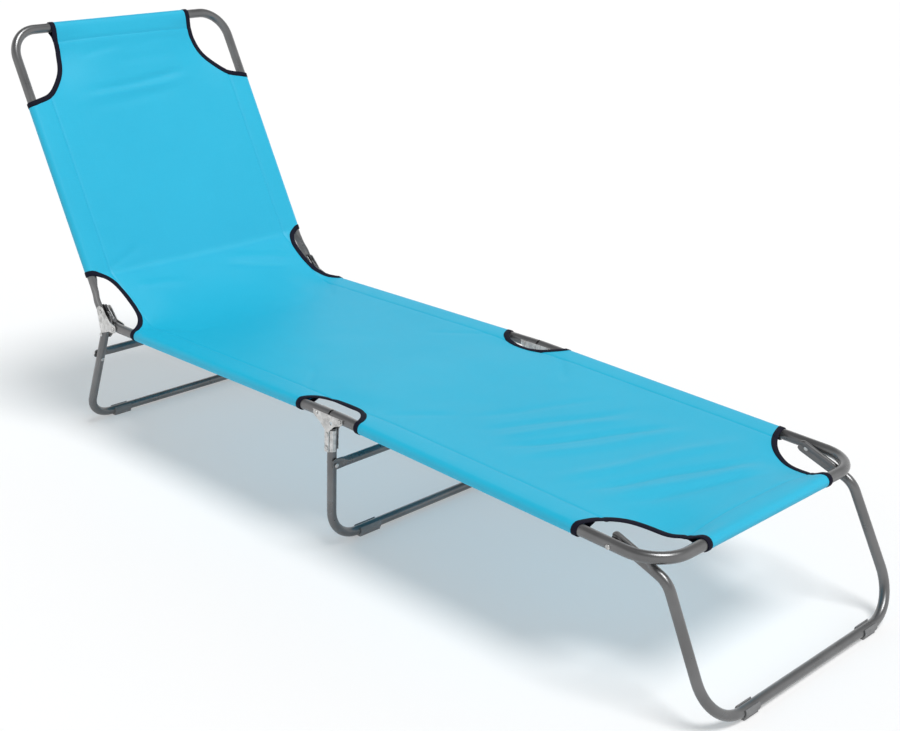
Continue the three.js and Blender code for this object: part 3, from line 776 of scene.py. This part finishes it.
def curve_through(points, spacing):
    """A smooth line through the points (Catmull-Rom), at an even spacing."""
    first = 2 * np.array(points[0]) - points[1]
    last = 2 * np.array(points[-1]) - points[-2]
    ends = [first, *map(np.array, points), last]
    dense = []
    for p0, p1, p2, p3 in zip(ends, ends[1:], ends[2:], ends[3:]):
        for t in np.linspace(0, 1, 24, endpoint=False):
            dense.append(0.5 * (2 * p1 + (p2 - p0) * t + (2 * p0 - 5 * p1 + 4 * p2 - p3) * t**2
                                + (3 * p1 - p0 - 3 * p2 + p3) * t**3))
    dense = np.array(dense + [ends[-2]])
    along = np.concatenate([[0], np.cumsum(np.linalg.norm(np.diff(dense, axis=0), axis=1))])
    count = max(2, round(along[-1] / spacing))
    even = np.linspace(0, along[-1], count + 1)
    return np.stack([np.interp(even, along, dense[:, k]) for k in range(2)], axis=1)


CUTS = {
    "head": cut_outline(
        HEAD_CUT, [(-3, 243), (-12, 214), (-34, 190), (-60, 172), (-90, 164), (-115, 162)]
    ) + [(L_HEAD - CUT_OVERRUN, 162)],
    "hinge": cut_outline(
        RUN.crease - 4, [(6, 243), (20, 228), (46, 220), (82, 218), (112, 221), (132, 229)],
        RUN.landing + 2, [(-8, 243)],
    ),
    "middle": cut_outline(
        RUN.tee - 73, [(4, 244), (16, 228), (40, 216), (74, 213), (100, 217), (118, 228)],
        RUN.tee + 63, [(-4, 244)],
    ),
    "foot": cut_outline(
        RUN.tee + 528, [(4, 240), (16, 210), (36, 185), (62, 170), (92, 164), (122, 157)]
    ) + [(L_FOOT + CUT_OVERRUN, 156)],
}
CUT_LINES = {name: curve_through(points, CUT_STEP) for name, points in CUTS.items()}


# ---- how the cloth sags

def bell(l, q, centre, radii):
    return math.exp(-((l - centre[0]) / radii[0]) ** 2 - ((q - centre[1]) / radii[1]) ** 2)


def sag(l, q):
    """How far the cloth lies under its tight line: nothing on the tubes, most at the cut-outs."""
    far = abs(q)
    free = 1 - smooth((far - 205) / 42)
    ends = smooth(l / 60) * smooth((RUN.length - l) / 60)
    depth = 5.0 * (1 - (min(far, HALF_WIDTH) / HALF_WIDTH) ** 2) * ends
    depth += 11.0 * bell(l, far, (62, 170), (58, 60)) * smooth(l / 26)
    depth += 13.0 * bell(l, far, (RUN.length - 60, 168), (55, 62)) * smooth((RUN.length - l) / 22)
    depth += 5.0 * bell(l, far, (RUN.tee - 6, 215), (66, 50))
    depth += 3.0 * bell(l, far, (RUN.crease + 78, 218), (60, 45))
    return (depth + creases(l, q)) * free


def creases(l, q):
    """Soft folds, pulls that fan out from the cut-outs, and a little unevenness."""
    depth = 0.0
    for l0, q0, l1, q1, deep, width in FOLDS:
        run = math.hypot(l1 - l0, q1 - q0)
        along = ((l - l0) * (l1 - l0) + (q - q0) * (q1 - q0)) / run
        if not 0 < along < run:
            continue
        off = ((l - l0) * (q1 - q0) - (q - q0) * (l1 - l0)) / run
        off += 2.5 * math.sin(along / 37 + l0)
        fade = smooth(along / (0.3 * run)) * smooth((run - along) / (0.3 * run))
        depth += FOLD_DEPTH * deep * fade * math.exp(-(off / width) ** 2)
    ripple = noise.noise(Vector((l / 85, q / 60, 3.1)))
    ripple += 0.5 * noise.noise(Vector((l / 30, q / 42, 9.7)))
    return depth + 0.5 * ripple


# Each fold runs from (L, q) to (L, q), with a depth (negative for a ridge) and a width. Its L is
# counted from the place that its group names.
FOLD_GROUPS = {
    0: [  # across the upper backrest, and the puckers under the head bar's seam
        (140, -150, 122, 130, 2.6, 6), (150, -150, 134, 130, -1.3, 9), (172, -170, 156, 100, 0.9, 10),
        (62, -120, 52, -10, 0.9, 5), (50, 20, 44, 140, 0.8, 5), (88, -60, 80, 120, 0.7, 8),
    ],
    RUN.crease: [  # where the backrest turns into the seat
        (22, 40, 70, 215, -1.0, 9), (36, 10, 92, 190, 0.9, 7), (40, -190, 66, -60, -0.9, 8),
        (-6, -225, -46, -120, 0.8, 6),
    ],
    RUN.landing: [
        (6, -226, 96, -150, 0.9, 7), (4, 226, 96, 150, 0.9, 7),
    ],
    RUN.tee: [
        # along the seat's tunnels
        (-420, -222, -92, -234, 1.0, 3.4), (-300, -236, -110, -224, 0.9, 3.2),
        (-360, 224, -140, 234, 0.8, 3.4), (-84, 228, -190, 130, 0.8, 7),
        (-84, -228, -190, -130, 0.8, 7),
        # across the foot section, from the near side's slack to the far rail
        (150, -120, 262, 150, 1.0, 8), (196, -140, 330, 150, 1.7, 8), (226, -150, 352, 130, -1.6, 10),
        (262, -170, 412, 150, 2.3, 8), (305, -180, 440, 160, -1.7, 12), (400, -190, 512, 190, -2.2, 13),
        (446, -190, 575, 165, 2.7, 9), (486, -180, 596, 150, -2.4, 12), (520, -165, 608, 120, 1.8, 9),
        (60, -210, 150, -90, 0.9, 8), (66, 226, 170, 130, 0.9, 8), (180, -222, 470, -232, 0.9, 3.4),
    ],
}
FOLDS = [
    (base + l0, q0, base + l1, q1, deep, width)
    for base, folds in FOLD_GROUPS.items() for l0, q0, l1, q1, deep, width in folds
]


def seam_dip(q, l):
    """The groove that the stitches pull into the cloth along each tunnel."""
    side = math.exp(-((abs(q) - SEAM_Y) / 2.2) ** 2)
    head = math.exp(-((l - BAR_HEM) / 2.4) ** 2)
    foot = math.exp(-((RUN.length - BAR_HEM - l) / 2.4) ** 2)
    return 1.1 * max(side, head, foot)


def cloth_point(l, q):
    """The place of a point of the flat cloth, in millimetres."""
    if l < 0 or l > RUN.length:
        return bar_point(l, q)
    y, h = tunnel(q)
    place, normal = RUN.at(l, y)
    past = abs(q) - HALF_WIDTH
    if past < 0:
        h -= sag(l, q) + seam_dip(q, l)
    else:
        joined = smooth((past - WRAP * TUNNEL_TURN) / TUNNEL_BACK)
        seam = math.copysign(SEAM_Y, q)
        h -= (sag(l, seam) + seam_dip(seam, l)) * joined
    x, z = place + normal * h
    return Vector((x, y, z))


def bar_point(l, q):
    """Round an end bar and back under the cloth to the seam."""
    at_head = l < 0
    past = -l if at_head else l - RUN.length
    place, up = RUN.at(0 if at_head else RUN.length, 0)
    out = -RUN.ways[0] if at_head else RUN.ways[-1]
    centre = place - up * WRAP
    angle = past / WRAP
    if angle <= math.pi:
        x, z = centre + (up * math.cos(angle) + out * math.sin(angle)) * WRAP
        return Vector((x, q, z))
    back = past - math.pi * WRAP
    x, z = centre - up * WRAP - out * back
    above = cloth_point(back if at_head else RUN.length - back, q)
    under = above - Vector((up[0], 0, up[1])) * SEAM_DEPTH
    return Vector((x, q, z)).lerp(under, smooth(back / BAR_HEM))


def cloth_normal(l, q):
    step = 0.6
    dl = cloth_point(l + step, q) - cloth_point(l - step, q)
    dq = cloth_point(l, q + step) - cloth_point(l, q - step)
    return dl.cross(dq).normalized()


# ---- the sheets

def levels(a, b, spacing):
    """Values from a to b at about that spacing."""
    count = max(1, round((b - a) / spacing))
    return [a] + list(np.linspace(a, b, count + 1)[1:])


def across_levels():
    """Distances from the middle where the cloth has points: closer at the seam and on the tube."""
    half = levels(0, SEAM_Y - 6, GRID) + levels(SEAM_Y - 3, SEAM_Y + 3, 1.5)
    half += levels(SEAM_Y + 6, HALF_WIDTH, 8) + levels(HALF_WIDTH + 3, Q_EDGE, 3.4)
    return sorted({round(s * v, 3) for v in half for s in (-1, 1)})


def along_levels():
    """Distances along the cloth where it has points: closer at the bars, seams and corners."""
    foot_seam = RUN.length - BAR_HEM
    bend, seam = 4.0, 1.6
    marks = [
        (L_HEAD, bend), (0, GRID), (BAR_HEM - 4, seam), (BAR_HEM + 4, GRID),
        (RUN.crease - 16, bend), (RUN.crease + 16, GRID), (RUN.landing - 16, bend),
        (RUN.landing + 16, GRID), (RUN.tee, GRID), (foot_seam - 4, seam), (foot_seam + 4, GRID),
        (RUN.length, bend), (L_FOOT, GRID),
    ]
    out = [L_HEAD]
    for (a, spacing), (b, _) in zip(marks, marks[1:]):
        out += levels(a, b, spacing)[1:]
    return out


def middle_reach(l):
    """How far in the middle cut-out comes at a distance along the cloth, or None past its ends."""
    line = CUT_LINES["middle"]
    if not line[:, 0].min() - 1e-6 <= l <= line[:, 0].max() + 1e-6:
        return None
    hits = []
    for (l0, q0), (l1, q1) in zip(line, line[1:]):
        if min(l0, l1) <= l <= max(l0, l1) and l0 != l1:
            hits.append(q0 + (q1 - q0) * (l - l0) / (l1 - l0))
    return min(hits) if hits else None


def outline_half(low, high):
    """The outline's right half from low to high along the cloth: (L, q) pairs, straight or cut."""
    points = [(low, 0.0)]
    head, foot = CUT_LINES["head"][::-1], CUT_LINES["foot"]
    if low < 0:
        points += [tuple(p) for p in head if low <= p[0] and p[1] <= Q_EDGE]
        points += [(head[-1][0], Q_EDGE)]
    else:
        points += [(low, split_width(low))]
    for name in ("hinge", "middle"):
        line = CUT_LINES[name]
        inside = [tuple(p) for p in line if low < p[0] < high and p[1] < Q_EDGE]
        if not inside:
            continue
        if line[0][0] > low:
            points += [(line[0][0], Q_EDGE)]
        points += inside
        if line[-1][0] < high:
            points += [(line[-1][0], Q_EDGE)]
    if high > RUN.length:
        points += [(foot[0][0], Q_EDGE)]
        points += [tuple(p) for p in foot if p[0] <= high and p[1] <= Q_EDGE]
        points += [(high, foot[-1][1])]
    else:
        points += [(high, split_width(high))]
    return points + [(high, 0.0)]


def split_width(l):
    """Half the cloth's width where one sheet ends and the next starts."""
    reach = middle_reach(l)
    return Q_EDGE if reach is None else reach


def densified(points, spacing=5.0):
    out = []
    for a, b in zip(points, points[1:]):
        gap = math.dist(a, b)
        if gap < 1e-6:
            continue
        count = max(1, math.ceil(gap / spacing))
        out += [tuple(np.array(a) + (np.array(b) - a) * k / count) for k in range(count)]
    return out + [points[-1]]


def flat_mesh(low, high):
    """Triangles of the flat cut between two distances along the cloth."""
    half = densified(outline_half(low, high))
    loop = half + [(l, -q) for l, q in half[-2:0:-1]]
    grid = [(l, q) for l in along_levels() if low < l < high for q in across_levels()]
    ring = np.array(loop)
    inside = [p for p in grid if np.linalg.norm(ring - p, axis=1).min() >= EDGE_GAP]
    points = [Vector(p) for p in loop + inside]
    edges = [(i, (i + 1) % len(loop)) for i in range(len(loop))]
    found = delaunay_2d_cdt(points, edges, [list(range(len(loop)))], 1, 1e-4)
    used = sorted({v for face in found[2] for v in face})
    order = {v: i for i, v in enumerate(used)}
    return [tuple(found[0][v]) for v in used], [tuple(order[v] for v in face) for face in found[2]]


def boundary_edges(faces):
    """Directed edges that only one triangle uses, in the order that they are met."""
    used = dict.fromkeys((a, b) for face in faces for a, b in zip(face, face[1:] + face[:1]))
    return [(a, b) for a, b in used if (b, a) not in used]


def make_sheet(name, low, high):
    """A closed sheet of cloth: its two faces, and a rim along its edge."""
    flat, faces = flat_mesh(low, high)
    count = len(flat)
    middle = [cloth_point(l, q) for l, q in flat]
    normals = [cloth_normal(l, q) for l, q in flat]
    up = 1 if normals[0].z + normals[0].x > 0 else -1
    points = [p + n * up * CLOTH / 2 for p, n in zip(middle, normals)]
    points += [p - n * up * CLOTH / 2 for p, n in zip(middle, normals)]
    a, b, c = faces[0]
    facing = (middle[b] - middle[a]).cross(middle[c] - middle[a]).dot(normals[a]) * up
    top = faces if facing > 0 else [f[::-1] for f in faces]
    solid = list(top) + [tuple(v + count for v in f[::-1]) for f in top]
    solid += [(b, a, a + count, b + count) for a, b in boundary_edges(top)]
    uv = [(q * MM, l * MM) for l, q in flat] * 2
    return mesh_object(name, points, solid, "fabric", 50.0, uv)


# ---- binding tape and stitches

# the tape's cross-section: distance in from the cloth's edge, and height over its middle
TAPE_SECTION = [(-1.1, 0.1), (-0.8, 0.95), (0.2, 1.35), (4.0, 1.45), (8.4, 1.25), (9.0, 0.5),
                (9.0, -0.4), (8.4, -0.95), (4.0, -1.1), (0.2, -1.05), (-0.8, -0.75)]


def facing(normal, way):
    """The normal or its opposite, whichever points that way."""
    return normal if normal.dot(way) >= 0 else -normal


def joined(parts):
    """Points, faces and flat coordinates of several parts as one."""
    points, faces, uv = [], [], []
    for more, sides, flat in parts:
        faces += [tuple(v + len(points) for v in f) for f in sides]
        points += more
        uv += flat
    return points, faces, uv


def tape_strip(line, sign):
    """Points, faces and flat coordinates of a folded tape along a cut's open line of (L, q)."""
    points, uv = [], []
    for i, (l, q) in enumerate(line):
        before, after = line[max(i - 1, 0)], line[min(i + 1, len(line) - 1)]
        way = np.array(after) - before
        way /= np.linalg.norm(way)
        inward = np.array((-way[1], way[0]))
        outwards = inward[1] > 0 and abs(way[0]) > 0.3
        if outwards or not leads_inside(l, q, inward):
            inward = -inward

        def place(d):
            return l + inward[0] * d, sign * (q + inward[1] * d)

        edge = cloth_point(l, sign * q)
        across = (cloth_point(*place(0.8)) - edge).normalized()
        normal = facing(cloth_normal(l, sign * q), outward(l, sign * q))
        for d, h in TAPE_SECTION:
            if d > 0:
                up = facing(cloth_normal(*place(d)), normal)
                points.append(cloth_point(*place(d)) + up * h)
            else:
                points.append(edge + across * d + normal * h)
            uv.append((d * MM, i * CUT_STEP * MM))
    faces = ring_faces(len(TAPE_SECTION), len(line))
    if sign > 0:
        faces = [f[::-1] for f in faces]
    return points, faces, uv


def outward(l, q):
    """A direction away from the tubes, on the side of the cloth that shows."""
    place, normal = RUN.at(min(max(l, 0), RUN.length), 0)
    if l < 0 or l > RUN.length:
        p = cloth_point(l, q)
        bar = place - normal * WRAP
        return Vector((p.x - bar[0], 0, p.z - bar[1]))
    y, h = tunnel(q)
    if abs(q) <= HALF_WIDTH:
        return Vector((normal[0], 0, normal[1]))
    lift = h + WRAP
    side = y - math.copysign(HALF_WIDTH, q)
    if lift < -WRAP * 0.9:
        return Vector((-normal[0], 0, -normal[1]))
    return Vector((normal[0] * lift, side, normal[1] * lift))


def leads_inside(l, q, inward):
    """Whether the direction leads into the cloth, away from the nearest cut-out's hole."""
    name = min(CUT_LINES, key=lambda n: np.abs(CUT_LINES[n] - (l, q)).sum(axis=1).min())
    line = CUT_LINES[name]
    hole = {"head": (-40, 330), "foot": (RUN.length + 40, 330)}.get(name)
    if hole is None:
        hole = ((line[0][0] + line[-1][0]) / 2, 300)
    away = np.array((l, q)) - hole
    return bool(np.dot(away, inward) > 0)


def make_tapes(name, low, high):
    """All the tapes of one sheet in one piece."""
    strips = []
    for line in CUT_LINES.values():
        part = [tuple(p) for p in line if low - 0.01 <= p[0] <= high + 0.01 and p[1] <= Q_EDGE
                and L_HEAD <= p[0] <= L_FOOT]
        for edge in (low, high):
            reach = middle_reach(edge) if 0 < edge < RUN.length else None
            if reach is not None and part and line is CUT_LINES["middle"]:
                part = [(edge, reach)] + part if edge == low else part + [(edge, reach)]
        if len(part) > 1:
            strips += [tape_strip(part, sign) for sign in (-1, 1)]
    points, faces, uv = joined(strips)
    return mesh_object(name, points, faces, "edge_tape", 60.0, uv)


def stitch(a, b, normal):
    """One short thread from a to b, a little proud of the cloth."""
    side = (b - a).normalized().cross(normal).normalized()
    ring = [(0.42, 0), (0.2, 0.4), (-0.2, 0.4), (-0.42, 0)]
    points = []
    for t, size in ((0, 0.4), (0.2, 1), (0.8, 1), (1, 0.4)):
        centre = a.lerp(b, t)
        points += [centre + side * s * size + normal * (h * size + CLOTH / 2) for s, h in ring]
    return points, ring_faces(4, 4), [(0, 0)] * len(points)


def seam_lines(low, high):
    """The rows of stitches of one sheet, as lists of (L, q): along the tunnels and the end bars."""
    rows = []
    # between the cut-outs and a little clear of them
    stretches = [(HEAD_CUT + 6, RUN.crease - 14), (RUN.landing + 12, RUN.tee - 83),
                 (RUN.tee + 73, RUN.tee + 522)]
    for sign in (-1, 1):
        for a, b in stretches:
            a, b = max(a, low), min(b, high)
            if b - a > 8:
                rows.append([(l, sign * SEAM_Y) for l in np.arange(a, b, STITCH)])
    for l in (BAR_HEM, RUN.length - BAR_HEM):
        if low < l < high:
            rows.append([(l, q) for q in np.arange(-148, 148, STITCH)])
    return rows


def make_stitches(name, low, high):
    """All the stitches of one sheet in one piece."""
    threads = []
    for row in seam_lines(low, high):
        for (l0, q0), (l1, q1) in zip(row, row[1:]):
            if l1 >= high or l0 <= low:
                continue
            a = cloth_point(l0, q0)
            b = cloth_point(l0 + (l1 - l0) * STITCH_SHARE, q0 + (q1 - q0) * STITCH_SHARE)
            normal = facing(cloth_normal((l0 + l1) / 2, (q0 + q1) / 2), outward(l0, q0))
            threads.append(stitch(a, b, normal))
    points, faces, uv = joined(threads)
    return mesh_object(name, points, faces, "fabric", 60.0, uv)


def bend_points(x0, z0, x1, z1):
    """Where a blend starts and ends, in metres, from millimetres in the scene's own frame."""
    return (x0 * MM, 0.0, z0 * MM), (x1 * MM, 0.0, z1 * MM)


def make_fabric():
    """Three sheets, each across one hinge, and the tape and stitches that go with each."""
    split = RUN.landing + SHEET_SPLIT
    tee_x = (TEE @ Vector((TEE_HALF, 0, 0))).x
    pivot = BACK.translation
    near, far, level = 3, 54, 250
    across_corner = bend_points(pivot.x - 30, pivot.z + 45, pivot.x + 55, pivot.z - 5)
    before_tee = bend_points(tee_x - far, level, tee_x - near, level)
    after_tee = bend_points(tee_x + near, level, tee_x + far, level)
    sections = [
        ("backrest", L_HEAD, split, ("backrest", "seat"), across_corner, "backrest_tube"),
        ("seat", split, RUN.tee, ("seat", "middle_leg"), before_tee, "seat_tube_left"),
        ("foot", RUN.tee, L_FOOT, ("middle_leg", "foot_section"), after_tee, "foot_section_tube"),
    ]
    for section, low, high, bodies, ends, tube in sections:
        name, node = section + "_cloth", section + "_fabric"
        sheet = make_sheet(name, low, high)
        tape = make_tapes(name + "_tape", low, high)
        thread = make_stitches(name + "_stitches", low, high)
        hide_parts(node)
        for piece in (sheet, tape, thread):
            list(bodies)
            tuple(ends[0])
            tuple(ends[1])
            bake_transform(piece)
        area = flat_area(low, high)


def flat_area(low, high):
    """The flat cut's area in square metres, without its cut-outs."""
    flat, faces = flat_mesh(low, high)
    total = 0.0
    for a, b, c in faces:
        (l0, q0), (l1, q1), (l2, q2) = flat[a], flat[b], flat[c]
        total += abs((l1 - l0) * (q2 - q0) - (l2 - l0) * (q1 - q0)) / 2
    return total * MM * MM


# ---- stage, light, camera

def make_stage():
    """A wide pale floor that glows a little, as a lit table does, so that shadows stay light."""
    material, _, shader = new_material("stage", (0.6, 0.6, 0.6), 0.95)
    set_inputs(shader, {"Emission Color": (1, 1, 1, 1), "Emission Strength": 0.3})
    mesh = bpy.data.meshes.new("floor")
    far = 60.0
    corners = [(-far, -far, 0), (far, -far, 0), (far, far, 0), (-far, far, 0)]
    mesh.from_pydata(corners, [], [(0, 1, 2, 3)])
    mesh.materials.append(material)
    floor = new_object("floor", mesh)
    floor.location.z = -0.0002


def sun(name, towards, strength, spread):
    """A soft distant light that comes from a direction."""
    light = bpy.data.lights.new(name, "SUN")
    light.energy = strength
    light.angle = math.radians(spread)
    new_object(name, light).rotation_euler = Vector(towards).to_track_quat("Z", "Y").to_euler()


def make_light():
    """A studio with pale walls and a dim ceiling, and one soft light high over the lounger."""
    world = bpy.data.worlds.new("studio")
    bpy.context.scene.world = world
    world.use_nodes = True
    tree = world.node_tree
    coordinates = tree.nodes.new("ShaderNodeTexCoord")
    split = tree.nodes.new("ShaderNodeSeparateXYZ")
    tree.links.new(coordinates.outputs["Generated"], split.inputs["Vector"])
    brightness = map_range(tree, split.outputs["Z"], WALL_LIGHT, CEILING_LIGHT, *LIGHT_FADE)
    background = tree.nodes["Background"]
    set_inputs(background, {"Color": (1, 1, 1, 1)})
    tree.links.new(brightness, background.inputs["Strength"])
    sun("overhead", (0.33, 0.05, 1.0), 2.45, 26)


def make_camera():
    """The camera looks over the lounger from beyond its foot end, half from its left side."""
    place, target = Vector((1.8125, -1.7101, 1.1716)), Vector((0.17895, -0.0725, 0.3097))
    roll = math.radians(0.82)
    forward = (target - place).normalized()
    right = forward.cross(Vector((0, 0, 1))).normalized()
    down = forward.cross(right)
    x = math.cos(roll) * right - math.sin(roll) * down
    y = -(math.sin(roll) * right + math.cos(roll) * down)
    camera = new_object("camera", bpy.data.cameras.new("camera"))
    camera.matrix_world = Matrix.Translation(place) @ Matrix((x, y, -forward)).transposed().to_4x4()
    camera.data.lens = 60.01
    camera.data.sensor_width = 36
    camera.data.clip_end = 50
    bpy.context.scene.camera = camera
    bpy.context.scene.view_settings.view_transform = "Standard"


make_camera()
make_stage()
make_light()
make_rails()
make_backrest_tube()
make_foot_tube()
make_leg("head_leg_tube", "head_leg", HEAD_LEG_FRAME, HEAD_LEG)
make_leg("middle_leg_tube", "middle_leg", MIDDLE_LEG_FRAME, MIDDLE_LEG)
make_front_leg()
make_crossbar("head_leg_bar", "head_leg_crossbar", HEAD_LEG_FRAME, HEAD_LEG, HEAD_CROSSBAR_Z, -1)
make_crossbar(
    "middle_leg_bar", "middle_leg_crossbar", MIDDLE_LEG_FRAME, MIDDLE_LEG, MIDDLE_CROSSBAR_Z, 1
)
make_rivets()
make_sleeves()
make_fabric()
finish_cad_nodes()
